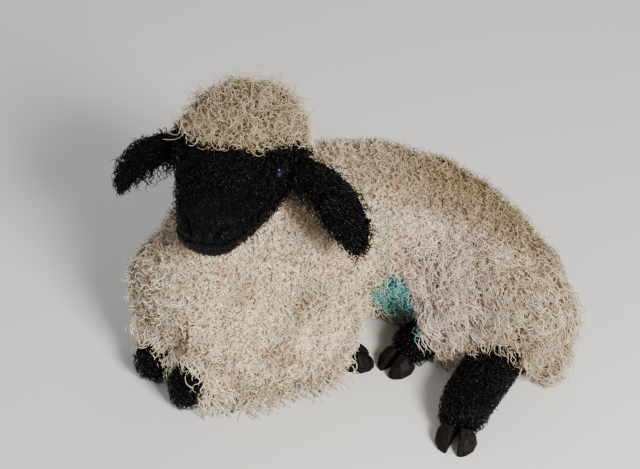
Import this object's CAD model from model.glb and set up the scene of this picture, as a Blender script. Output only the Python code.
import math

import bpy
import numpy as np
from mathutils import Matrix, Vector
from mathutils.bvhtree import BVHTree


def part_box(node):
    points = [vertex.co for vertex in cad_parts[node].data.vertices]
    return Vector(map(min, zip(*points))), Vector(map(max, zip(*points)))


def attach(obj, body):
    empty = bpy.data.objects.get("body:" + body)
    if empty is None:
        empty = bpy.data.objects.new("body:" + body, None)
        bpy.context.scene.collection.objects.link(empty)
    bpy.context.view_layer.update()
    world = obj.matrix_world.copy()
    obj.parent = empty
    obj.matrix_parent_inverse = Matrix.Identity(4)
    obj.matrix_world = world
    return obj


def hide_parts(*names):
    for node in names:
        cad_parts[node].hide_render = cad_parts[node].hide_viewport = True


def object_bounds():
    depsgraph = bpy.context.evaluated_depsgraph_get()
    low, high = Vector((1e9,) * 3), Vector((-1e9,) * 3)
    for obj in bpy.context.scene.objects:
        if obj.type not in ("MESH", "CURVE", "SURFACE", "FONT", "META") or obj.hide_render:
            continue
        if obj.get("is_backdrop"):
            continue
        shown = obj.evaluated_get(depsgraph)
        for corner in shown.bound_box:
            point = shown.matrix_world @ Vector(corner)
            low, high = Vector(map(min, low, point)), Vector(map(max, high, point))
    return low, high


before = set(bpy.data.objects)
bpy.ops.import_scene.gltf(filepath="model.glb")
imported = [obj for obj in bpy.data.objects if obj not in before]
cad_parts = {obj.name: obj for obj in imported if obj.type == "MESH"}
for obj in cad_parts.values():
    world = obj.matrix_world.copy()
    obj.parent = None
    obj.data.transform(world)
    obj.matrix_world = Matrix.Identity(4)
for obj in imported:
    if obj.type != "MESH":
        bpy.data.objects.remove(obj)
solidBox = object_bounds()
body = "root"  # the lamb is one still body

# which solids carry which coat
woolNodes = ["torso_chest", "torso_loin", "torso_rump", "neck", "poll_fleece", "tail",
             "foreleg_left", "foreleg_right", "hindleg_left", "hindleg_right"]
earNodes = ["ear_left", "ear_right"]
shankNodes = [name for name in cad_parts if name.endswith("_shank")]
eyeNodes = ["eye_left", "eye_right"]
clawNodes = sorted(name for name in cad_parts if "_claw_" in name)
blackNodes = ["head"] + earNodes + shankNodes

# the head's own axes, from which lids, lips and nostrils are placed
headPose = {"nose": (-0.097, -0.147, 0.192), "yaw": 15.0, "pitch": 8.0, "length": 0.129}


def lengths(ways):
    return np.linalg.norm(ways, axis=1)


def unit(v):
    return v / np.maximum(np.linalg.norm(v, axis=-1, keepdims=True), 1e-9)


def ease(low, high, x):  # 0 below low, 1 above high, smooth between
    t = np.clip((x - low) / (high - low), 0.0, 1.0)
    return t * t * (3 - 2 * t)


def headAxes():
    yaw, pitch = math.radians(headPose["yaw"]), math.radians(headPose["pitch"])
    ahead = Vector((-math.sin(yaw) * math.cos(pitch), -math.cos(yaw) * math.cos(pitch), -math.sin(pitch)))
    right = ahead.cross(Vector((0, 0, 1))).normalized()
    above = right.cross(ahead)
    start = Vector(headPose["nose"]) - ahead * headPose["length"]
    return np.array(start), np.array([right, ahead, above])


headStart, headWays = headAxes()


def toHead(spots):  # right, forwards, up
    return (spots - headStart) @ headWays.T


anyPhase = (0, 6.3)  # a random start of a wave


def wander(spots, scale, seed, waves=7, level=3.2):  # a soft random field of sines, about -1 to 1
    rng = np.random.default_rng(seed)
    total = np.zeros(len(spots))
    for _ in range(waves):
        way = unit(rng.normal(size=3)) * rng.uniform(0.6, 1.6) / scale
        total += np.sin(spots @ way + rng.uniform(*anyPhase))
    return total / level


def deselect():
    bpy.ops.object.select_all(action="DESELECT")


def pick(piece):
    deselect()
    piece.select_set(True)
    bpy.context.view_layer.objects.active = piece


def applyAll(piece):
    pick(piece)
    for modifier in list(piece.modifiers):
        bpy.ops.object.modifier_apply(modifier=modifier.name)


def fused(piece, cell, rounds):  # remade as one closed surface and rounded
    fuse = piece.modifiers.new("fuse", "REMESH")
    fuse.mode = "VOXEL"
    fuse.voxel_size = cell
    soften = piece.modifiers.new("soften", "SMOOTH")
    soften.iterations = rounds
    applyAll(piece)


def toMode(mode):
    bpy.ops.object.mode_set(mode=mode)


def onAllFaces(operator, **options):  # one edit-mode operator on the whole active piece
    toMode("EDIT")
    bpy.ops.mesh.select_all(action="SELECT")
    operator(**options)
    toMode("OBJECT")


def copyOf(names, pieceName):  # the solids as one loose copy, doubles merged
    deselect()
    for name in names:
        part = bpy.data.objects.new(name + "_copy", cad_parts[name].data.copy())
        bpy.context.collection.objects.link(part)
        part.select_set(True)
    bpy.context.view_layer.objects.active = part
    if len(names) > 1:
        bpy.ops.object.join()
    piece = bpy.context.view_layer.objects.active
    piece.name = pieceName
    piece.data.materials.clear()
    onAllFaces(bpy.ops.mesh.remove_doubles, threshold=0.00001)
    return piece


def read(mesh, key):  # "co" for the places of the points, "normal" for the ways they face
    points = np.empty(len(mesh.vertices) * 3, np.float32)
    mesh.vertices.foreach_get(key, points)
    return points.reshape(-1, 3).astype(float)


def flat(values):  # as a mesh takes them
    return values.astype(np.float32).ravel()


def moveTo(mesh, spots):
    mesh.vertices.foreach_set("co", flat(spots))
    mesh.update()


def treeOf(names):
    points, faces = [], []
    for name in names:
        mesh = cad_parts[name].data
        first = len(points)
        points += [v.co.copy() for v in mesh.vertices]
        faces += [[first + i for i in p.vertices] for p in mesh.polygons]
    return BVHTree.FromPolygons(points, faces)


def reach(tree, spots):
    return np.array([tree.find_nearest(Vector(s))[3] for s in spots])


print("scene: frame loaded")


# skin: the solids fused into one, rounded where the clumps were, and set in under the coat
skinShape = {
    "cell": 0.0028,  # size of its faces
    "grow": 0.0007,  # closes the gaps between the solids before they are fused
    "round": 8,
    "roundWool": 110,
    "under": {"wool": 0.0075, "face": 0.0032, "ear": 0.0022, "shank": 0.0026},
    "muzzleUnder": 0.0004,
    "blend": 14,  # rounds that spread the depth from one coat to the next
    "share": 0.0015,  # how far one coat runs into the next
    "lowest": 0.0003,
    "tone": 0.2,
}
coats = {"wool": woolNodes, "face": ["head"], "ear": earNodes, "shank": shankNodes}

# the edge of the white wool on the head, measured forwards at middle height
hairline = {"at": 0.008, "slope": 1.1, "dip": 0.005, "dipAt": 0.012, "dipWide": 0.022, "back": 0.016,
            "sides": (0.026, 0.052), "ragged": 0.003}


def pastHairline(spots):  # how far in front of the white wool's edge, in the head's axes
    x, y, z = toHead(spots).T
    ragged = hairline["ragged"] * wander(spots, 0.004, 2)
    dip = hairline["dip"] * np.exp(-((x - hairline["dipAt"]) / hairline["dipWide"]) ** 2)
    brow = hairline["at"] + hairline["slope"] * z + dip
    brow -= hairline["back"] * ease(*hairline["sides"], np.abs(x))
    return np.where(z > 0.001, y - brow - ragged, np.maximum(y + 0.01, 0.003))


# where the white cap lies, in the head's axes
cap = {"up": (0.008, 0.02), "middle": (0, 0.015, 0.015), "around": (0.085, 0.07)}


def onHead(spots):  # 1 on the head and its cap, 0 down the neck
    x, y, z = toHead(spots).T
    return ease(0.004, 0.014, y) * ease(0.0, 0.006, z)


def onPoll(spots):  # 1 on the head's white cap
    local = toHead(spots)
    return ease(*cap["up"], local[:, 2]) * ease(*cap["around"], lengths(local - cap["middle"]))


def spread(mesh, values, rounds):  # averages with the neighbours
    edges = np.empty(len(mesh.edges) * 2, np.int32)
    mesh.edges.foreach_get("vertices", edges)
    a, b = edges.reshape(-1, 2).T
    size = len(mesh.vertices)
    links = np.bincount(a, minlength=size) + np.bincount(b, minlength=size)
    for _ in range(rounds):
        total = np.bincount(a, values[b], size) + np.bincount(b, values[a], size)
        values = 0.5 * values + 0.5 * total / np.maximum(links, 1)
    return values


def keep(mesh, name, values):
    layer = mesh.attributes.get(name) or mesh.attributes.new(name, "FLOAT", "POINT")
    layer.data.foreach_set("value", values.astype(np.float32))


def kept(mesh, name):
    values = np.empty(len(mesh.vertices), np.float32)
    mesh.attributes[name].data.foreach_get("value", values)
    return values.astype(float)


def makeSkin():
    skin = copyOf(woolNodes + blackNodes + eyeNodes, "skin")
    grow = skin.modifiers.new("grow", "DISPLACE")
    grow.mid_level = 0.0
    grow.strength = skinShape["grow"]
    fused(skin, skinShape["cell"], skinShape["round"])
    mesh = skin.data

    # which coat grows where, from the nearest solid, with white wool on the head back from the hairline
    spots = read(mesh, "co")
    shares = {}
    for coat, nodes in coats.items():
        shares[coat] = np.exp(-reach(treeOf(nodes), spots) / skinShape["share"])
    past = pastHairline(spots)
    crown = shares["face"] * ease(0.003, -0.001, past)
    crown -= shares["wool"] * ease(0.001, 0.005, past) * onHead(spots)
    shares["face"], shares["wool"] = shares["face"] - crown, shares["wool"] + crown
    whole = sum(shares.values())
    for coat, share in shares.items():
        keep(mesh, coat, spread(mesh, share / whole, 3))

    # the clumps of the solids are smoothed away under the wool
    group = skin.vertex_groups.new(name="wool")
    for i, share in enumerate(kept(mesh, "wool")):
        group.add([i], float(share), "REPLACE")
    level = skin.modifiers.new("level", "SMOOTH")
    level.iterations = skinShape["roundWool"]
    level.vertex_group = "wool"
    applyAll(skin)

    # the skin sinks by the depth of its coat, less on the muzzle and where the lamb rests
    spots, normals = read(mesh, "co"), read(mesh, "normal")
    under = sum(kept(mesh, coat) * skinShape["under"][coat] for coat in coats)
    muzzle = ease(0.08, 0.108, toHead(spots)[:, 1]) * kept(mesh, "face")
    under = under * (1 - muzzle) + skinShape["muzzleUnder"] * muzzle
    under *= 1 - 0.9 * ease(0.45, 0.85, -normals[:, 2]) * ease(0.03, 0.01, spots[:, 2])
    under = spread(mesh, under, skinShape["blend"])
    spots -= normals * under[:, None]
    spots[:, 2] = np.maximum(spots[:, 2], skinShape["lowest"])
    moveTo(mesh, spots)
    mesh.shade_smooth()
    return skin


skin = makeSkin()
print("scene: skin fused")

# face: lids, lips and nostrils, pressed into a finer part of the skin
faceShape = {
    "fine": {"ahead": 0.088, "eye": 0.019},  # where the skin is made finer
    "finest": {"mouth": 0.0045, "nostril": 0.0095, "split": 0.004, "eye": 0.01425},
    "lid": {"thick": 0.0016, "reach": 0.0075, "full": 0.003, "back": -0.25, "sunk": 0.0022, "fold": 0.0009},
    "opening": (0.0072, 0.0049),  # half length and half height between the lids
    "look": (0.86, 0.44, 0.2),
    "mouth": {"height": -0.0035, "bend": 0.1185, "slope": 0.31, "deep": 0.0024, "wide": 0.001,
              "from": 0.082},
    "lip": {"out": 0.001, "off": 0.0028, "wide": 0.0018},
    "split": {"deep": 0.0016, "wide": 0.0009, "top": 0.0075, "from": 0.112},
    "nostril": {"side": 0.014, "up": 0.006, "from": 0.104, "deep": 0.0048, "rim": 0.0008,
                "wide": (0.0058, 0.0018), "turn": 0.5, "curve": 60},
}


def eyeBalls():
    balls = []
    for name, side in (("eye_left", -1.0), ("eye_right", 1.0)):
        low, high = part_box(name)
        x, y, z = faceShape["look"]
        look = unit(np.array([side * x, y, z]) @ headWays)
        along = unit(headWays[1] - look * (headWays[1] @ look))
        over = np.cross(look, along) * side
        balls.append((name, np.array((low + high) / 2), (high.z - low.z) / 2, look, along, over))
    return balls


def overMouth(y, z):  # height over the mouth line
    mouth = faceShape["mouth"]
    return z - (mouth["height"] - mouth["slope"] * np.maximum(mouth["bend"] - y, 0))


def smallForms(spots):  # true by the mouth line, the nostrils and the eyes
    x, y, z = toHead(spots).T
    nostril, finest = faceShape["nostril"], faceShape["finest"]
    near = (np.abs(overMouth(y, z)) < finest["mouth"]) & (y > faceShape["fine"]["ahead"])
    near |= np.hypot(np.abs(x) - nostril["side"], z - nostril["up"]) < finest["nostril"]
    near |= (np.abs(x) < finest["split"]) & (y > 0.108) & (z < 0.01)
    for _, centre, *_ in eyeBalls():
        near |= lengths(spots - centre) < finest["eye"]
    return near


def refineFace():
    mesh = skin.data
    for level in range(2):
        pick(skin)
        toMode("EDIT")
        bpy.ops.mesh.select_mode(type="VERT")
        bpy.ops.mesh.select_all(action="DESELECT")
        toMode("OBJECT")
        spots = read(mesh, "co")
        fine = faceShape["fine"]
        near = (toHead(spots)[:, 1] > fine["ahead"]) & (kept(mesh, "face") > 0.5)
        for _, centre, *_ in eyeBalls():
            near |= lengths(spots - centre) < fine["eye"]
        if level == 1:
            near &= smallForms(spots)
        mesh.vertices.foreach_set("select", near)
        toMode("EDIT")
        bpy.ops.mesh.subdivide(number_cuts=1)
        bpy.ops.mesh.vertices_smooth(factor=0.5, repeat=3)
        toMode("OBJECT")


def shapeFace():
    mesh = skin.data
    spots, normals = read(mesh, "co"), read(mesh, "normal")
    x, y, z = toHead(spots).T
    face = kept(mesh, "face") > 0.5
    push = np.zeros(len(spots))

    # mouth, from the front back to its corners, and the lips beside it
    mouth, lip = faceShape["mouth"], faceShape["lip"]
    away = overMouth(y, z)
    line = (face & (y > mouth["from"])) * ease(mouth["from"], mouth["from"] + 0.01, y)
    push -= line * mouth["deep"] * np.exp(-(away / mouth["wide"]) ** 2)
    push += line * lip["out"] * np.exp(-((np.abs(away) - lip["off"]) / lip["wide"]) ** 2)

    # split of the upper lip, up to between the nostrils
    split = faceShape["split"]
    front = face & (y > split["from"]) & (away > 0) & (z < split["top"])
    push -= front * split["deep"] * np.exp(-(x / split["wide"]) ** 2)

    # nostrils, slanting outwards and up
    nostril = faceShape["nostril"]
    cos, sin = math.cos(nostril["turn"]), math.sin(nostril["turn"])
    long, thin = nostril["wide"]
    for side in (-1, 1):
        dx, dz = x * side - nostril["side"], z - nostril["up"]
        u = dx * cos + dz * sin
        v = -dx * sin + dz * cos + nostril["curve"] * u * u
        hole = np.exp(-(u / long) ** 4 - (v / thin) ** 2)
        rim = np.exp(-(u / (1.5 * long)) ** 4 - ((np.abs(v) - 0.0032) / 0.0016) ** 2)
        push += (face & (y > nostril["from"])) * (nostril["rim"] * rim - nostril["deep"] * hole)
    spots += normals * push[:, None]

    # lids: the skin lies on each eyeball, open over its front in an almond
    lid = faceShape["lid"]
    half, high = faceShape["opening"]
    for _, centre, radius, look, along, over in eyeBalls():
        edge = radius + lid["reach"]
        ways = spots - centre
        far = lengths(ways)
        ways /= far[:, None]
        u, v = ways @ along * radius, ways @ over * radius
        rim = np.abs(v + 0.0004) / (high * np.maximum(1 - (u / half) ** 2, 0.001) ** 0.8) - 1
        rim = np.where(np.abs(u) < half, rim, 1.0)
        ahead = ways @ look
        onEye = (far < edge) & (ahead > lid["back"])
        shut = ease(-0.1, 0.1, rim)
        fit = ease(lid["back"], 0.1, ahead) * ease(edge, radius + lid["full"], far)
        fit = np.where(onEye, fit, 0.0)
        goal = (radius - lid["sunk"]) * (1 - shut) + (radius + lid["thick"]) * shut
        fold = lid["fold"] * np.exp(-((rim - 0.35) / 0.25) ** 2) * shut
        far = far * (1 - fit) + (goal + fold) * fit
        spots = centre + ways * far[:, None]
    moveTo(mesh, spots)


refineFace()
shapeFace()
skin.data.calc_loop_triangles()
print("scene: face shaped,", len(skin.data.loop_triangles), "triangles in the skin")


# markings: the same for skin and coat, by place on the body
markPlaces = {
    "stain": {"at": (0.07, -0.06, 0.05), "size": (0.0185, 0.12, 0.044), "uneven": 0.3,
              "missed": 0.42},  # some tufts took less of the spray
    "streak": {"at": (0.06, -0.064, 0.115), "size": (0.0085, 0.05, 0.033), "share": 0.36},
    "flank": {"from": 0.05, "to": 0.085, "top": 0.15, "pale": (0.17, 0.12)},
    "speck": {"at": (0.1178, -0.0485, 0.1451), "size": 0.006},
}
soiling = {"rump": 0.95, "thigh": 0.42, "back": 0.5, "poll": 0.8, "edge": 0.55, "side": 0.45,
           "patches": 0.4, "speck": 1.6}


def stainAt(spots):  # sprayed on from outside, so it lies on whatever is there
    stain, streak = markPlaces["stain"], markPlaces["streak"]
    uneven = stain["uneven"] * wander(spots, 0.006, 5)
    ways = (spots - stain["at"]) / stain["size"]
    ways[:, 0] /= 1.15 - 0.55 * ease(-0.2, 1.0, ways[:, 2])  # narrower towards its top
    off = lengths(ways) + uneven
    side = lengths((spots - streak["at"]) / streak["size"]) + uneven
    return np.maximum(ease(1.3, 0.6, off), streak["share"] * ease(1.3, 0.4, side))


def flankAt(spots, normals):  # the softer wool of flank and thigh
    flank = markPlaces["flank"]
    x, y, z = spots.T
    return (
        ease(flank["from"], flank["to"], x + 0.006 * wander(spots, 0.02, 8))
        * ease(flank["top"] + 0.012, flank["top"] - 0.018, z + 0.004 * wander(spots, 0.006, 5))
        * ease(-0.15, 0.35, -normals[:, 1] + 0.25 * (y < -0.06))
    )


def soilAt(spots, normals):  # most on rump and cap, less on the back and the lower edges
    x, y, z = spots.T
    facing = -normals[:, 1]
    across = y + 0.35 * (x - 0.15) + 0.006 * wander(spots, 0.01, 63)
    speck = markPlaces["speck"]
    soils = [
        soiling["rump"] * ease(-0.09, -0.052, across) * ease(-0.02, 0.12, x) * ease(0.015, 0.11, z),
        soiling["thigh"] * ease(0.115, 0.165, x),
        soiling["back"] * ease(-0.05, 0.03, x) * ease(0.135, 0.165, z) * ease(0.65, 0.25, facing),
        soiling["poll"] * np.maximum(onHead(spots), onPoll(spots)),
        soiling["edge"] * ease(0.045, 0.012, z),
        soiling["side"] * ease(-0.105, -0.14, x) * ease(0.2, -0.2, facing),
        soiling["patches"] * ease(0.35, 1.2, wander(spots, 0.009, 61)),
        soiling["speck"] * ease(1.0, 0.5, lengths(spots - speck["at"]) / speck["size"]),
    ]
    return np.clip(np.max(soils, axis=0), 0.0, 1.0)


def marksAt(spots, normals):
    pale = ease(*markPlaces["flank"]["pale"], spots[:, 0] + 0.008 * wander(spots, 0.015, 64))
    flank = flankAt(spots, normals) * pale
    return {"stain": stainAt(spots), "flank": flank, "soil": soilAt(spots, normals)}


def setMarks(mesh, black, marks):  # black, flank and stain as one colour, and the soil
    colours = np.stack([black, marks["flank"], marks["stain"] * (1 - black), np.ones(len(black))], 1)
    layer = mesh.attributes.new("marks", "FLOAT_COLOR", "POINT")
    layer.data.foreach_set("color", flat(colours))
    keep(mesh, "soil", marks["soil"])


marks = marksAt(read(skin.data, "co"), read(skin.data, "normal"))
setMarks(skin.data, ease(0.42, 0.58, 1 - kept(skin.data, "wool")), marks)
keep(skin.data, "tone", np.full(len(skin.data.vertices), skinShape["tone"]))

# the skin's own unwrap, which every tuft also takes its place from
pick(skin)
for layer in list(skin.data.uv_layers):
    skin.data.uv_layers.remove(layer)
skin.data.uv_layers.new(name="OFBake")
onAllFaces(bpy.ops.uv.smart_project, angle_limit=math.radians(66), island_margin=0.002)
print("scene: skin marked and unwrapped")


def groundOf(mesh):  # what roots need to know of the skin, by triangle
    mesh.calc_loop_triangles()
    count = len(mesh.loop_triangles)
    corners, loops = np.empty(count * 3, np.int32), np.empty(count * 3, np.int32)
    mesh.loop_triangles.foreach_get("vertices", corners)
    mesh.loop_triangles.foreach_get("loops", loops)
    corners = corners.reshape(-1, 3)
    places = np.empty(len(mesh.loops) * 2, np.float32)
    mesh.uv_layers["OFBake"].data.foreach_get("uv", places)
    spots = read(mesh, "co")
    a, b, c = (spots[corners[:, k]] for k in range(3))
    return {
        "corners": corners,
        "places": places.reshape(-1, 2)[loops.reshape(-1, 3)],
        "spots": spots,
        "normals": read(mesh, "normal"),
        "coats": {name: kept(mesh, name) for name in coats},
        "areas": lengths(np.cross(b - a, c - a)) / 2,
    }


ground = groundOf(skin.data)
rooting = {
    "tries": 3.2,  # places tried for each square of the gap
    "resting": 0.01,  # no wool grows under the lamb below this height
    "clear": 0.0004,  # no tuft comes nearer to the floor or its skin
}


def scatter(seed, gap, chance):  # roots about gap apart, chance says how likely each is kept
    rng = np.random.default_rng(seed)
    areas = ground["areas"]
    tries = int(areas.sum() / gap**2 * rooting["tries"])
    which = rng.choice(len(areas), tries, p=areas / areas.sum())
    a, b = rng.random(tries), rng.random(tries)
    flip = a + b > 1
    a[flip], b[flip] = 1 - a[flip], 1 - b[flip]
    share = np.stack([1 - a - b, a, b], 1)[:, :, None]
    corners = ground["corners"][which]
    roots = {
        "at": (ground["spots"][corners] * share).sum(1),
        "normal": unit((ground["normals"][corners] * share).sum(1)),
        "place": (ground["places"][which] * share).sum(1),
    }
    for name, values in ground["coats"].items():
        roots[name] = (values[corners] * share[:, :, 0]).sum(1)
    wanted = rng.random(tries) < chance(roots)
    wanted &= ~((roots["at"][:, 2] < rooting["resting"]) & (roots["normal"][:, 2] < -0.5))
    taken, chosen = {}, []
    cells = np.floor(roots["at"] / gap).astype(int)
    steps = [(dx, dy, dz) for dx in (-1, 0, 1) for dy in (-1, 0, 1) for dz in (-1, 0, 1)]
    for i in np.flatnonzero(wanted):
        x, y, z = cells[i]
        at = roots["at"][i]
        near = [q for dx, dy, dz in steps for q in taken.get((x + dx, y + dy, z + dz), ())]
        if near and np.min(np.sum((np.array(near) - at) ** 2, axis=1)) < gap * gap:
            continue
        taken.setdefault((x, y, z), []).append(at)
        chosen.append(i)
    return {name: values[chosen] for name, values in roots.items()}


def around(normals, ways):  # the part of ways that lies along the surface
    return unit(ways - normals * np.sum(normals * ways, axis=1, keepdims=True))


patchSize = 0.003  # of each tuft in the map OFBake


# closed tapered tubes with three sides as one mesh, toned from root to tip
def growPiece(name, roots, paths, radii, side, tones, black):
    count, rings = paths.shape[:2]
    along = unit(np.gradient(paths, axis=1))
    across = unit(np.cross(along, side[:, None, :]))
    third = np.cross(along, across)
    turn = (np.arange(3) * 2 * math.pi / 3)[:, None]
    out = across[:, :, None, :] * np.cos(turn) + third[:, :, None, :] * np.sin(turn)
    ring = paths[:, :, None, :] + radii[:, :, None, None] * out
    tip = paths[:, -1] + along[:, -1] * radii[:, -1:] * 1.5
    spots = np.concatenate([ring.reshape(count, -1, 3), tip[:, None]], axis=1)
    spots[:, :, 2] = np.maximum(spots[:, :, 2], rooting["clear"])
    each = rings * 3 + 1
    quads = [[3 * i + j, 3 * i + (j + 1) % 3, 3 * i + 3 + (j + 1) % 3, 3 * i + 3 + j]
             for i in range(rings - 1) for j in range(3)]
    ends = [[3 * rings - 3 + j, 3 * rings - 3 + (j + 1) % 3, 3 * rings] for j in range(3)] + [[2, 1, 0]]
    corners = np.array([i for face in quads + ends for i in face])
    sizes = np.array([4] * len(quads) + [3] * len(ends))
    loops = (corners[None] + each * np.arange(count)[:, None]).ravel()
    starts = np.concatenate([[0], np.cumsum(np.tile(sizes, count))[:-1]])

    mesh = bpy.data.meshes.new(name)
    mesh.vertices.add(count * each)
    mesh.vertices.foreach_set("co", flat(spots))
    mesh.loops.add(len(loops))
    mesh.loops.foreach_set("vertex_index", loops.astype(np.int32))
    mesh.polygons.add(len(starts))
    mesh.polygons.foreach_set("loop_start", starts.astype(np.int32))
    patch = np.stack([np.minimum(corners // 3, rings - 1) / rings, corners % 3 / 3], 1) * patchSize
    places = np.clip(roots["place"][:, None] + patch[None], 0.0, 1.0)
    mesh.uv_layers.new(name="OFBake").data.foreach_set("uv", flat(places))
    mesh.update()
    mesh.shade_smooth()

    height = np.append(np.repeat(np.linspace(0, 1, rings), 3), 1.0)
    low, high = tones[:, :1], tones[:, 1:]
    keep(mesh, "tone", np.clip(low + (high - low) * height[None], 0, 1).ravel())
    marks = {key: np.repeat(v, each) for key, v in marksAt(roots["at"], roots["normal"]).items()}
    missed = markPlaces["stain"]["missed"] * np.random.default_rng(count).random(count) ** 2
    marks["stain"] = stainAt(spots.reshape(-1, 3)) * np.repeat(1 - missed, each)
    setMarks(mesh, np.full(count * each, float(black)), marks)
    piece = bpy.data.objects.new(name, mesh)
    bpy.context.collection.objects.link(piece)
    return piece


def taper(count, rings, thick, end, rng):
    shape = np.linspace(0, 1, rings)
    width = 1 - (1 - end) * shape**1.6
    return thick / 2 * width[None] * rng.uniform(*uneven["thick"], (count, 1))


def swirl(spots, scale, seed):  # a soft random direction, alike for neighbours
    return np.stack([wander(spots, scale, seed + k) for k in range(3)], 1)


def gathered(roots, bunch):  # each root's bunch, the way to its middle, and 1 at its edge
    cells = np.floor(roots["at"] / bunch + 0.4 * swirl(roots["at"], bunch * 1.4, 71)).astype(int)
    group = np.unique(cells, axis=0, return_inverse=True)[1].ravel()
    sizes = np.bincount(group)
    middle = np.stack([np.bincount(group, roots["at"][:, k]) / sizes for k in range(3)], 1)
    inwards = middle[group] - roots["at"]
    return group, inwards, ease(0.2, 0.6, lengths(inwards) / bunch)


alike = {"tilt": 0.004, "way": 0.005, "hand": 0.006, "tone": 0.007}  # width of spots where curls are alike


def curls(roots, look, flow, rng):  # ringlets and hooks, which start along the flow and wind round an axis
    at, normals = roots["at"], roots["normal"]
    count = len(at)

    def between(key):
        return rng.uniform(*look[key], (count, 1))

    loose = around(normals, swirl(at, alike["tilt"], 31) + rng.normal(size=(count, 3)))
    axis = unit(normals + between("tilt") * loose + look["lean"] * flow)
    astray = 0.8 * rng.normal(size=(count, 3))
    way = around(axis, look["follow"] * flow + swirl(at, alike["way"], 41) + astray)
    hand = np.sign(wander(at, alike["hand"], 51)[:, None] + rng.normal(size=(count, 1)) * 0.8)
    aside = np.cross(way, axis) * hand
    s = np.linspace(0, 1, look["rings"])
    angle = 2 * math.pi * between("turns") * s[None]
    width = between("radius") * (1.0 - 0.4 * s[None] ** 1.5) * ease(-0.15, 0.25, s)[None]
    oval = rng.uniform(0.65, 1.0, (count, 1))
    _, inwards, edge = gathered(roots, look["bunch"])
    high = between("rise") * (1.12 - 0.45 * edge[:, None]) * (s[None] ** 0.8)
    high = high - look["sink"] * (1 - ease(0.0, 0.18, s))[None]
    wobble = np.sin(2 * angle + rng.uniform(*anyPhase, (count, 1)))
    high = high + 0.22 * width * wobble * ease(0.0, 0.3, s)[None]
    paths = (at[:, None]
             + axis[:, None] * high[:, :, None]
             + aside[:, None] * (width * oval * np.cos(angle) - (width * oval)[:, :1])[:, :, None]
             + way[:, None] * (width * np.sin(angle))[:, :, None]
             + inwards[:, None] * look["gather"] * s[None, :, None])
    above = np.sum((paths - at[:, None]) * normals[:, None], axis=2)
    lift = np.maximum(rooting["clear"] - above, 0) * ease(0.05, 0.2, s)[None]
    return paths + normals[:, None] * lift[:, :, None], axis


def locks(roots, look, flow, rng):  # wavy locks that lie along the flow, several to a bunch
    at, normals = roots["at"], roots["normal"]
    count = len(at)
    group, inwards, _ = gathered(roots, look["bunch"])
    shared = rng.random((group.max() + 1, 4))[group]
    astray = 2 * shared[:, :3] - 1 + 0.6 * rng.normal(size=(count, 3))
    way = around(normals, flow + look["stray"] * astray)
    way = unit(way + look.get("hang", 0.0) * down)
    aside = unit(np.cross(normals, way))
    s = np.linspace(0, 1, look["rings"])
    low, high = look["length"]
    long = low + (high - low) * (0.6 * shared[:, 3:] + 0.4 * rng.random((count, 1)))
    circle = 6.28
    phase = circle * (shared[:, :1] + 0.15 * rng.normal(size=(count, 1)))
    waves = look["waves"] * (0.7 + 0.6 * shared[:, 1:2])
    angle = phase + circle * waves * s[None]
    swing = look["swing"] * (0.25 + s[None]) * np.sin(angle)
    swing = swing - swing[:, :1]
    bob = 0.5 * look["swing"] * np.cos(angle)
    arch = np.sin(math.pi * np.minimum(0.15 + look["arch"] * s, 1))[None]
    up = look["rise"] * arch * (0.7 + 0.6 * rng.random((count, 1)))
    up = (up + bob) * ease(0, 0.25, s)[None] - look["sink"] * (1 - ease(0, 0.15, s))[None]
    paths = (at[:, None]
             + way[:, None] * (long * s[None])[:, :, None]
             + aside[:, None] * swing[:, :, None]
             + normals[:, None] * up[:, :, None]
             + inwards[:, None] * 0.8 * s[None, :, None])
    return paths, normals


def spine(spots):  # forwards along the curled body, at each spot
    line = np.array([(0.19, -0.1), (0.15, -0.045), (0.095, -0.002), (0.045, 0.009), (-0.005, -0.006),
                     (-0.055, -0.038), (-0.11, -0.086)])
    middle, ways = (line[1:] + line[:-1]) / 2, unit(line[1:] - line[:-1])
    near = np.exp(-np.sum((spots[:, None, :2] - middle[None]) ** 2, axis=2) / 0.03**2)
    way = unit((near[:, :, None] * ways[None]).sum(1))
    return np.concatenate([way, np.zeros((len(spots), 1))], axis=1)


down = np.array([0.0, 0.0, -1.0])
ahead, above = headWays[1], headWays[2]


def longWool(spots, normals):  # 1 where the flank and thigh wool hangs in locks
    z = spots[:, 2]
    return flankAt(spots, normals) * ease(0.128, 0.1, z + 0.006 * wander(spots, 0.012, 9))


def offEyes(spots):  # distance from the nearer eye, in its radii
    return np.min([lengths(spots - ball[1]) / ball[2] for ball in eyeBalls()], axis=0)


coatPieces = {"wool": [], "black": []}
mostTriangles = 150000  # of one piece
uneven = {"tuft": 0.1, "patch": 0.07, "thick": (0.8, 1.15)}  # how much the tufts differ


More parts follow.
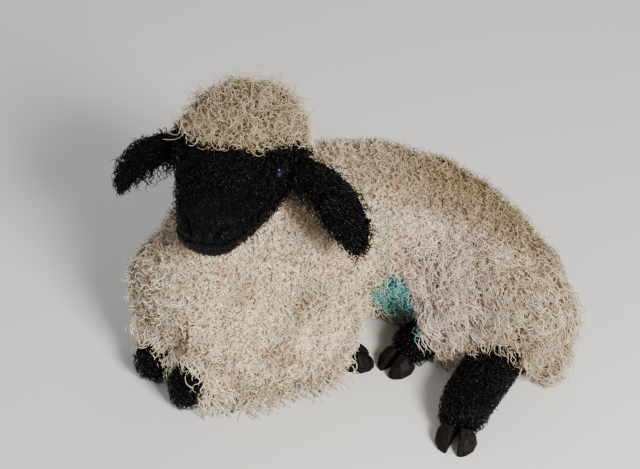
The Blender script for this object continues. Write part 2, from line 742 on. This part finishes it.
# one coat of curls or locks. where says how likely a root stays, and way is where its tuft leans
def addCoat(kind, name, look, seed, where, way, scale=None, rng=None):
    rng = rng or np.random.default_rng(seed)
    roots = scatter(seed, look["gap"], where)
    way = way(roots) if callable(way) else way
    flow = way if look.get("free") else around(roots["normal"], way)
    paths, side = (locks if "length" in look else curls)(roots, look, flow, rng)
    if scale:
        start = roots["at"][:, None]
        paths = start + (paths - start) * scale(roots)[:, None, None]
    count = len(paths)
    shift = uneven["tuft"] * rng.normal(size=count)
    shift = shift + uneven["patch"] * wander(roots["at"], alike["tone"], 62)
    shift -= look.get("crease", 0.0) * gathered(roots, look["bunch"])[2]
    tones = np.array(look["tone"])[None] + shift[:, None]
    radii = taper(count, look["rings"], look["thick"], look["end"], rng)

    each = look["rings"] * 6 - 2  # triangles of a tuft
    parts = max(1, math.ceil(count * each / mostTriangles))
    order = np.argsort(roots["at"][:, 0], kind="stable")
    for i, some in enumerate(np.array_split(order, parts)):
        partName = f"{name}_{i + 1}" if parts > 1 else name
        partRoots = {key: values[some] for key, values in roots.items()}
        shape = paths[some], radii[some], side[some], tones[some]
        coatPieces[kind].append(growPiece(partName, partRoots, *shape, kind == "black"))
    print("scene:", name, count, "tufts,", count * each, "triangles")


# body wool: close small ringlets, and short hooks between them
ringlets = {
    "gap": 0.0042, "rings": 11, "radius": (0.0024, 0.0054), "turns": (0.5, 1.0), "rise": (0.0055, 0.0105),
    "sink": 0.0012, "tilt": (0.0, 0.7), "lean": 0.25, "follow": 0.6, "thick": 0.00085, "end": 0.28,
    "bunch": 0.012, "gather": 0.35, "crease": 0.46, "tone": (0.4, 1.08),
}
hooks = {
    "gap": 0.0034, "rings": 6, "radius": (0.0022, 0.0042), "turns": (0.35, 0.7), "rise": (0.0035, 0.008),
    "sink": 0.001, "tilt": (0.0, 0.7), "lean": 0.45, "follow": 1.2, "thick": 0.0014, "end": 0.3,
    "bunch": 0.012, "gather": 0.35, "crease": 0.46, "tone": (0.34, 0.8),
}


def fleeceChance(roots):
    return (roots["wool"] > 0.5) * (1 - 0.93 * longWool(roots["at"], roots["normal"]))


def bodyChance(roots):  # the cap has curls of its own
    return fleeceChance(roots) * (1 - onPoll(roots["at"]))


def backAndDown(roots):  # along the body
    return down - 0.7 * spine(roots["at"])


addCoat("wool", "fleece", ringlets, 21, bodyChance, backAndDown)
addCoat("wool", "underwool", hooks, 22, fleeceChance, backAndDown)

# loops of thin wool that hang from the lower edge of the fleece over the knees
loops = {
    "gap": 0.0026, "rings": 13, "radius": (0.0034, 0.006), "turns": (0.6, 1.1), "rise": (0.012, 0.023),
    "sink": 0.0012, "tilt": (0.0, 0.8), "lean": 1.6, "follow": 0.5, "thick": 0.00075, "end": 0.6,
    "bunch": 0.009, "gather": 0.1, "tone": (0.4, 1.0),
    "free": True,  # hangs down, not along the skin
    "overKnee": 0.02,  # how far from the shank it still grows
}

knees = treeOf([name for name in shankNodes if name.startswith("foreleg")])


def byKnees(roots):
    near = reach(knees, roots["at"]) < loops["overKnee"]
    facing = roots["normal"] @ np.array([-0.45, -0.9, 0.0])
    return (roots["wool"] > 0.55) * near * ease(-0.1, 0.4, facing)


addCoat("wool", "knee_loops", loops, 35, byKnees, down)

# poll: bigger looser ringlets, a fringe over the brow, and fine hairs that stand off
pollCurls = {
    "gap": 0.0027, "rings": 13, "radius": (0.0026, 0.0062), "turns": (0.6, 1.2), "rise": (0.007, 0.014),
    "sink": 0.0012, "tilt": (0.1, 1.1), "lean": 0.15, "follow": 0.5, "thick": 0.0008, "end": 0.4,
    "bunch": 0.01, "gather": 0.25, "crease": 0.35, "tone": (0.25, 1.05),
}
fringe = {
    "gap": 0.003, "rings": 13, "radius": (0.0022, 0.005), "turns": (0.6, 1.3), "rise": (0.007, 0.015),
    "sink": 0.0012, "tilt": (0.2, 1.1), "lean": 1.1, "follow": 0.5, "thick": 0.0008, "end": 0.4,
    "bunch": 0.007, "gather": 0.2, "tone": (0.1, 0.95),
}
wisps = {
    "gap": 0.0045, "rings": 10, "radius": (0.004, 0.009), "turns": (0.4, 1.1), "rise": (0.013, 0.026),
    "sink": 0.001, "tilt": (0.3, 1.4), "lean": 0.0, "follow": 0.2, "thick": 0.0006, "end": 0.5,
    "bunch": 0.01, "gather": 0.0, "tone": (0.35, 1.0),
}


def onCap(roots):
    return (roots["wool"] > 0.5) * onPoll(roots["at"])


def atBrow(roots):
    return (roots["wool"] > 0.4) * onPoll(roots["at"]) * (pastHairline(roots["at"]) > -0.008)


def nowAndThen(roots):  # most on the cap
    return (roots["wool"] > 0.6) * np.maximum(0.8 * onPoll(roots["at"]), 0.07)


def shorter(roots):  # off the cap
    return 0.55 + 0.45 * onPoll(roots["at"])


forwards = 0.8 * ahead - 0.7 * above
addCoat("wool", "poll_curls", pollCurls, 23, onCap, forwards)
addCoat("wool", "brow_fringe", fringe, 24, atBrow, forwards)
addCoat("wool", "stray_hairs", wisps, 25, nowAndThen, forwards, shorter)

# flank and thigh: longer silky wool in wavy locks that hang down and back
flankLocks = {
    "gap": 0.0025, "rings": 12, "length": (0.015, 0.03), "waves": 1.8, "swing": 0.0019, "rise": 0.0065,
    "arch": 0.62, "sink": 0.001, "bunch": 0.011, "stray": 0.6, "thick": 0.00095, "end": 0.25,
    "crease": 0.4, "tone": (0.25, 1.0),
}


def onFlank(roots):
    return (roots["wool"] > 0.5) * longWool(roots["at"], roots["normal"])


def flankWay(roots):
    return down - 0.55 * spine(roots["at"]) + np.array([0.25, -0.1, 0])


addCoat("wool", "flank_wool", flankLocks, 26, onFlank, flankWay)

# face: short tight black curls, smaller towards the muzzle, and flat hair on muzzle and lids
faceCurls = {
    "gap": 0.0026, "rings": 10, "radius": (0.0017, 0.0034), "turns": (0.6, 1.2), "rise": (0.0034, 0.0075),
    "sink": 0.0009, "tilt": (0.1, 1.1), "lean": 0.3, "follow": 0.6, "thick": 0.0011, "end": 0.4,
    "bunch": 0.007, "gather": 0.35, "tone": (0.0, 1.0),
}
cheekCurls = {
    "gap": 0.0034, "rings": 10, "radius": (0.0018, 0.0036), "turns": (0.6, 1.3), "rise": (0.0055, 0.0105),
    "sink": 0.0009, "tilt": (0.2, 1.3), "lean": 0.5, "follow": 0.6, "thick": 0.0009, "end": 0.4,
    "bunch": 0.006, "gather": 0.5, "tone": (0.0, 0.95),
}
lashes = {
    "gap": 0.0017, "rings": 8, "length": (0.0065, 0.0105), "waves": 1.0, "swing": 0.001, "rise": 0.0032,
    "arch": 0.6, "sink": 0.0006, "bunch": 0.004, "stray": 0.35, "thick": 0.0009, "end": 0.3,
    "tone": (0.0, 0.9),
}
muzzleHair = {
    "gap": 0.0015, "rings": 4, "length": (0.0022, 0.0036), "waves": 0.6, "swing": 0.0003, "rise": 0.0008,
    "arch": 0.6, "sink": 0.0005, "bunch": 0.004, "stray": 0.25, "thick": 0.0005, "end": 0.4,
    "tone": (0.3, 1.0),
}


def onFace(roots):
    y = toHead(roots["at"])[:, 1]
    return (roots["face"] > 0.45) * ease(0.114, 0.098, y) * (offEyes(roots["at"]) > 1.13)


def smaller(roots):  # towards the muzzle and the eyes
    small = 1 - 0.6 * ease(0.08, 0.112, toHead(roots["at"])[:, 1])
    return small * (1 - 0.4 * ease(1.75, 1.15, offEyes(roots["at"])))


def onCheeks(roots):
    x, y, z = toHead(roots["at"]).T
    cheek = np.maximum(ease(0.02, 0.034, np.abs(x)), ease(-0.016, -0.03, z))
    return (roots["face"] > 0.5) * cheek * ease(0.112, 0.095, y) * (offEyes(roots["at"]) > 1.7)


def overEye(roots):  # the left eye from above, and the right one all round
    spots = roots["at"]
    off = offEyes(spots)
    higher = np.max([ease(0.0, 0.003, (spots - ball[1]) @ ball[5]) for ball in eyeBalls()], axis=0)
    higher = np.maximum(0.6 * higher * (off > 1.22), toHead(spots)[:, 0] > 0)
    return (roots["face"] > 0.4) * (off > 1.08) * (off < 1.85) * higher


def onMuzzle(roots):  # and on the lids
    y, z = toHead(roots["at"]).T[1:]
    bare = np.clip(ease(0.118, 0.112, y) + ease(0.004, 0.009, np.abs(z)), 0.08, 1)
    off = offEyes(roots["at"])
    return (roots["face"] > 0.4) * np.maximum(ease(0.092, 0.106, y) * bare, (off < 1.45) & (off > 1.12))


faceRng = np.random.default_rng(27)
addCoat("black", "face_wool", faceCurls, 27, onFace, 0.5 * down - ahead, smaller, faceRng)
addCoat("black", "cheek_wool", cheekCurls, 34, onCheeks, 0.7 * down - 0.6 * ahead, None, faceRng)
addCoat("black", "eye_fringe", lashes, 33, overEye, down - 0.6 * ahead, None, faceRng)
addCoat("black", "muzzle_hair", muzzleHair, 28, onMuzzle, -ahead - 0.3 * above, None, faceRng)

# ears: shaggy black curls, longer locks towards the tip, and a fringe from the lower edge
earCurls = {
    "gap": 0.0025, "rings": 10, "radius": (0.0015, 0.0032), "turns": (0.7, 1.4), "rise": (0.0022, 0.0058),
    "sink": 0.0006, "tilt": (0.3, 1.4), "lean": 0.9, "follow": 0.8, "thick": 0.001, "end": 0.4,
    "bunch": 0.0065, "gather": 0.55, "tone": (0.0, 0.95),
}
earLocks = {
    "gap": 0.0025, "rings": 10, "length": (0.009, 0.019), "waves": 1.7, "swing": 0.0017, "rise": 0.004,
    "arch": 0.7, "sink": 0.0006, "bunch": 0.0065, "stray": 0.6, "thick": 0.001, "end": 0.3,
    "tone": (0.0, 1.0),
}
earFringe = {
    "gap": 0.0024, "rings": 11, "length": (0.012, 0.021), "waves": 2.0, "swing": 0.0018, "rise": 0.003,
    "arch": 0.7, "sink": 0.0006, "bunch": 0.007, "stray": 0.5, "thick": 0.0012, "end": 0.3, "hang": 1.3,
    "tone": (0.0, 1.0),
}


def onEar(roots):
    return roots["ear"] > 0.5


def shaggy(roots):
    return onEar(roots) * (0.35 + 0.65 * ease(0.075, 0.105, np.abs(toHead(roots["at"])[:, 0])))


def underEar(roots):
    return onEar(roots) * ease(0.35, 0.05, roots["normal"][:, 2])


def outwards(roots):
    return np.sign(toHead(roots["at"])[:, :1]) * headWays[0]


def outAndDown(roots):
    return outwards(roots) * 0.8 + down * 0.9


def moreDown(roots):
    return outwards(roots) * 0.5 + down


def longer(roots):  # near the head
    return 1.25 - 0.45 * ease(0.07, 0.11, np.abs(toHead(roots["at"])[:, 0]))


addCoat("black", "ear_curls", earCurls, 29, onEar, outAndDown)
addCoat("black", "ear_locks", earLocks, 30, shaggy, outAndDown)
addCoat("black", "ear_fringe", earFringe, 36, underEar, moreDown, longer)

# shanks: thick short black wool that lies down the leg
shankCurls = {
    "gap": 0.0028, "rings": 9, "radius": (0.0014, 0.003), "turns": (0.6, 1.3), "rise": (0.0028, 0.006),
    "sink": 0.0008, "tilt": (0.2, 1.2), "lean": 0.6, "follow": 0.9, "thick": 0.0011, "end": 0.4,
    "bunch": 0.0065, "gather": 0.5, "tone": (0.0, 0.95),
}
shankLocks = {
    "gap": 0.0027, "rings": 8, "length": (0.006, 0.011), "waves": 1.2, "swing": 0.0014, "rise": 0.003,
    "arch": 0.6, "sink": 0.0006, "bunch": 0.0065, "stray": 0.5, "thick": 0.001, "end": 0.35,
    "tone": (0.0, 1.0),
}


def onShank(roots):
    return roots["shank"] > 0.5


downLeg = 0.7 * down + [0.1, -0.8, 0]
addCoat("black", "shank_curls", shankCurls, 31, onShank, downLeg)
addCoat("black", "shank_locks", shankLocks, 32, onShank, downLeg)

# eyes: dark glossy balls with a bulged cornea and a level pupil
eyeShape = {"across": 56, "around": 40, "bulge": 0.0006, "cornea": 0.62, "inset": 0.0001}


def makeEye(name, centre, radius, look, along, over):
    deselect()
    turn = Matrix((along, np.cross(look, along), look)).transposed().to_euler()
    bpy.ops.mesh.primitive_uv_sphere_add(segments=eyeShape["across"], ring_count=eyeShape["around"],
                                         radius=radius - eyeShape["inset"], location=centre, rotation=turn)
    eye = bpy.context.active_object
    eye.name = name + "_ball"
    bpy.ops.object.transform_apply(location=True, rotation=True, scale=True)
    mesh = eye.data
    spots = read(mesh, "co")
    ways = unit(spots - centre)
    front = ways @ look
    spots += look * (eyeShape["bulge"] * ease(eyeShape["cornea"], 1.0, front))[:, None]
    moveTo(mesh, spots)
    gaze = np.stack([ways @ along, ways @ over, front], 1)
    layer = mesh.attributes.new("gaze", "FLOAT_VECTOR", "POINT")
    layer.data.foreach_set("vector", flat(gaze))
    bpy.ops.object.shade_smooth()
    mesh.uv_layers[0].name = "OFBake"
    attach(eye, body)
    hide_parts(name)
    return eye


eyes = [makeEye(*ball) for ball in eyeBalls()]

# hooves: the horn of each claw, rounded, with its growth rings in the material
hoofShape = {"cell": 0.0009, "round": 5}
hooves = []
for clawName in clawNodes:
    hoof = copyOf([clawName], clawName + "_horn")
    fused(hoof, hoofShape["cell"], hoofShape["round"])
    bpy.ops.object.shade_smooth()
    onAllFaces(bpy.ops.uv.smart_project, island_margin=0.01)
    hoof.data.uv_layers[0].name = "OFBake"
    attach(hoof, body)
    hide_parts(clawName)
    hooves.append(hoof)
print("scene: eyes and hooves made")


def fill(mat, node, inputs):  # each input takes another node's output, a colour or a number
    for key, value in inputs.items():
        socket = node.inputs[key]
        if isinstance(value, bpy.types.NodeSocket):
            mat.node_tree.links.new(value, socket)
        elif isinstance(value, tuple) and socket.type == "RGBA":
            socket.default_value = (*value, 1.0)
        else:
            socket.default_value = value


def newMaterial(name, rough, sheen=0.0, specular=0.5):
    mat = bpy.data.materials.new(name)
    mat.use_nodes = True
    shader = mat.node_tree.nodes["Principled BSDF"]
    fill(mat, shader, {"Roughness": rough, "Sheen Weight": sheen, "Sheen Roughness": 0.4,
                       "Specular IOR Level": specular})
    return mat, shader


def add(mat, kind, inputs, **settings):
    node = mat.node_tree.nodes.new("ShaderNode" + kind)
    for key, value in settings.items():
        setattr(node, key, value)
    fill(mat, node, inputs)
    return node.outputs


def attribute(mat, name):
    return add(mat, "Attribute", {}, attribute_name=name)


def objectNoise(mat, scale, detail=3.0):
    place = add(mat, "TexCoord", {})["Object"]
    return add(mat, "TexNoise", {"Vector": place, "Scale": scale, "Detail": detail})["Fac"]


def ramp(mat, source, stops):
    colours = add(mat, "ValToRGB", {"Fac": source})["Color"]
    elements = colours.node.color_ramp.elements
    while len(elements) < len(stops):
        elements.new(0.5)
    for element, (position, colour) in zip(elements, stops):
        element.position = position
        element.color = (*colour, 1.0)
    return colours


def mixed(mat, share, first, second, blend="MIX"):
    inputs = {0: share, 6: first, 7: second}
    return add(mat, "Mix", inputs, data_type="RGBA", blend_type=blend)[2]


def calculate(mat, operation, *values):
    return add(mat, "Math", dict(enumerate(values)), operation=operation)[0]


def bump(mat, shader, height, distance, strength):
    inputs = {"Distance": distance, "Strength": strength, "Height": height}
    fill(mat, shader, {"Normal": add(mat, "Bump", inputs)["Normal"]})


# colours of the coat, root to tip, and of what marks it
coatColours = {
    "wool": [(0.0, (0.11, 0.076, 0.046)), (0.2, (0.32, 0.24, 0.158)), (0.5, (0.63, 0.515, 0.365)),
             (0.85, (0.93, 0.82, 0.63)), (1.0, (0.98, 0.91, 0.755))],
    "flank": [(0.0, (0.13, 0.09, 0.066)), (0.2, (0.38, 0.29, 0.225)), (0.5, (0.68, 0.56, 0.46)),
              (0.85, (0.94, 0.84, 0.735)), (1.0, (0.98, 0.92, 0.85))],
    "black": [(0.0, (0.0002, 0.0002, 0.0002)), (0.6, (0.0005, 0.0005, 0.0005)),
              (1.0, (0.003, 0.003, 0.0027))],
    "stain": [(0.0, (0.5, 0.5, 0.34)), (0.35, (0.26, 0.44, 0.3)), (0.75, (0.07, 0.38, 0.36)),
              (1.0, (0.05, 0.34, 0.35))],
    "shade": [(0.0, (0.2, 0.2, 0.2)), (0.55, (0.85, 0.85, 0.85)), (1.0, (1.7, 1.7, 1.7))],
    "clean": (1.0, 1.0, 1.0),
    "dust": (0.72, 0.6, 0.46),
    "blush": (0.98, 0.83, 0.79),
    "grease": (0.9, 0.87, 0.62),
    "soil": (0.37, 0.325, 0.243),
}
coatGrain = {"fine": 900.0, "crimp": 150.0, "lines": 11.0, "patches": 38.0, "dust": 90.0}


def crimp(mat):  # rings round the hills of a soft noise, like wool seen between the curls
    hills = objectNoise(mat, coatGrain["crimp"], 1.5)
    wave = calculate(mat, "SINE", calculate(mat, "MULTIPLY", hills, 6.283 * coatGrain["lines"]))
    return calculate(mat, "MULTIPLY_ADD", wave, 0.5, 0.5)


def coatMaterial(name, rough, sheen, specular, crimped=False):
    mat, shader = newMaterial(name, rough, sheen, specular)
    tone = attribute(mat, "tone")["Fac"]
    if crimped:
        height, deep = crimp(mat), 0.0012
        tone = calculate(mat, "MULTIPLY_ADD", height, 0.5, tone)
    else:
        height, deep = objectNoise(mat, coatGrain["fine"], 2.0), 0.0004
    marks = attribute(mat, "marks")["Color"]
    marks = add(mat, "SeparateColor", {"Color": marks})
    black, flank, stain = marks["Red"], marks["Green"], marks["Blue"]

    wool = ramp(mat, tone, coatColours["wool"])
    wool = mixed(mat, flank, wool, ramp(mat, tone, coatColours["flank"]))
    clean = coatColours["clean"]
    stops = [(0.3, coatColours["blush"]), (0.44, clean), (0.58, clean), (0.72, coatColours["grease"])]
    patches = ramp(mat, objectNoise(mat, coatGrain["patches"]), stops)
    wool = mixed(mat, 0.8, wool, patches, "MULTIPLY")
    stops = [(0.45, clean), (0.75, coatColours["dust"])]
    dusty = ramp(mat, objectNoise(mat, coatGrain["dust"]), stops)
    wool = mixed(mat, 0.6, wool, dusty, "MULTIPLY")
    soil = attribute(mat, "soil")["Fac"]
    wool = mixed(mat, soil, wool, mixed(mat, 1.0, wool, coatColours["soil"], "MULTIPLY"))
    dyed = ramp(mat, stain, coatColours["stain"])
    dyed = mixed(mat, 0.45, dyed, ramp(mat, tone, coatColours["shade"]), "MULTIPLY")
    wool = mixed(mat, stain, wool, dyed)
    dark = ramp(mat, tone, coatColours["black"])
    fill(mat, shader, {"Base Color": mixed(mat, black, wool, dark)})
    bump(mat, shader, height, deep, 0.8)
    return mat


skinMaterial = coatMaterial("lamb_skin", rough=0.45, sheen=0.0, specular=0.1, crimped=True)
woolMaterial = coatMaterial("lamb_wool", rough=0.55, sheen=0.1, specular=0.35)
blackMaterial = coatMaterial("lamb_black_wool", rough=0.22, sheen=0.0, specular=0.15)

eyeColours = {
    "iris": [(0.35, (0.004, 0.003, 0.003)), (0.78, (0.007, 0.004, 0.003)), (0.93, (0.002, 0.002, 0.002)),
             (1.0, (0.004, 0.003, 0.003))],
    "pupil": (0.003, 0.004, 0.008),
    "gloss": (0.45, 0.68, 1.0),
    "irisSize": (0.62, 0.62),
    "pupilSize": (0.42, 0.2),
}


def eyeMaterial():
    mat, shader = newMaterial("lamb_eye", rough=0.1, specular=0.6)
    gaze = attribute(mat, "gaze")["Vector"]

    def off(wide, high):  # distance from the middle of the eye, as an oval
        inputs = {0: gaze, 1: (1 / wide, 1 / high, 0.0)}
        stretched = add(mat, "VectorMath", inputs, operation="MULTIPLY")["Vector"]
        return add(mat, "VectorMath", {0: stretched}, operation="LENGTH")["Value"]

    iris = ramp(mat, off(*eyeColours["irisSize"]), eyeColours["iris"])
    hole = ramp(mat, off(*eyeColours["pupilSize"]), [(0.88, (0, 0, 0)), (1.0, (1, 1, 1))])
    colour = mixed(mat, hole, eyeColours["pupil"], iris)
    fill(mat, shader, {"Base Color": colour, "Specular Tint": eyeColours["gloss"]})
    return mat


hornLook = {"dark": (0.002, 0.0018, 0.0016), "scuffed": (0.01, 0.008, 0.006), "scuffs": 320.0,
            "rings": 190.0, "uneven": 2.5}


def hoofMaterial():
    mat, shader = newMaterial("lamb_hoof", rough=0.55, specular=0.06)
    place = add(mat, "TexCoord", {})["Object"]
    inputs = {"Vector": place, "Scale": hornLook["rings"], "Distortion": hornLook["uneven"]}
    rings = add(mat, "TexWave", inputs, bands_direction="Z")["Fac"]
    stops = [(0.35, hornLook["dark"]), (0.75, hornLook["scuffed"])]
    scuffs = ramp(mat, objectNoise(mat, hornLook["scuffs"]), stops)
    fill(mat, shader, {"Base Color": scuffs})
    bump(mat, shader, rings, 0.0003, 0.5)
    return mat


def wear(piece, material):
    piece.data.materials.clear()
    piece.data.materials.append(material)


wear(skin, skinMaterial)
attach(skin, body)
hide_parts(*woolNodes, *blackNodes)
for kind, material, slotName in (("wool", woolMaterial, "wool"), ("black", blackMaterial, "black_wool")):
    for piece in coatPieces[kind]:
        wear(piece, material)
        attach(piece, body)
wet, horn = eyeMaterial(), hoofMaterial()
for eye in eyes:
    wear(eye, wet)
for hoof in hooves:
    wear(hoof, horn)
for name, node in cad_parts.items():
    node.data.materials.clear()
    node.data.materials.append(blackMaterial if name in blackNodes else woolMaterial)
print("scene: materials on")

# pale floor, soft light from the right and the front, and the photograph's view
studio = {"floor": (0.58, 0.57, 0.55), "size": 12.0, "sky": (0.86, 0.89, 0.93, 1.0), "glow": 0.42}
bpy.ops.mesh.primitive_plane_add(size=studio["size"], location=(0, 0, 0))
floor = bpy.context.active_object
floor.name = "studio_floor"
floorLook, floorShader = newMaterial("studio_floor", rough=0.85)
fill(floorLook, floorShader, {"Base Color": studio["floor"]})
floor.data.materials.append(floorLook)
floor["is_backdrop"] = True

world = bpy.context.scene.world or bpy.data.worlds.new("studio")
bpy.context.scene.world = world
world.use_nodes = True
sky = world.node_tree.nodes["Background"].inputs
sky["Color"].default_value = studio["sky"]
sky["Strength"].default_value = studio["glow"]

lamps = [
    {"name": "key", "at": (0.8, -1.35, 1.05), "size": 0.5, "power": 90.0, "colour": (1.0, 0.97, 0.93)},
    {"name": "fill", "at": (-1.2, -0.7, 1.0), "size": 1.4, "power": 6.0, "colour": (0.93, 0.96, 1.0)},
    {"name": "back", "at": (0.3, 1.2, 1.2), "size": 1.0, "power": 8.0, "colour": (1.0, 1.0, 1.0)},
]
cameraPlace = {"at": (0.0, -0.985, 0.8496), "looksAt": (0.0, 0.0, 0.08), "fov": 28.0}


def aimed(at):  # turned towards the middle of the lamb
    return (Vector(cameraPlace["looksAt"]) - Vector(at)).to_track_quat("-Z", "Y").to_euler()


for lamp in lamps:
    bpy.ops.object.light_add(type="AREA", location=lamp["at"], rotation=aimed(lamp["at"]))
    light = bpy.context.active_object
    light.name = "light_" + lamp["name"]
    light.data.size = lamp["size"]
    light.data.energy = lamp["power"]
    light.data.color = lamp["colour"]

bpy.ops.object.camera_add(location=cameraPlace["at"], rotation=aimed(cameraPlace["at"]))
camera = bpy.context.active_object
camera.data.sensor_width = 36.0
camera.data.lens = camera.data.sensor_width / 2 / math.tan(math.radians(cameraPlace["fov"] / 2))
bpy.context.scene.camera = camera


def plain(value):
    if isinstance(value, (tuple, list, Vector)):
        return [plain(v) for v in value]
    return float(value)


{"solids": plain(solidBox), "shown": plain(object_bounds())}
print("scene: lights, floor and camera set")
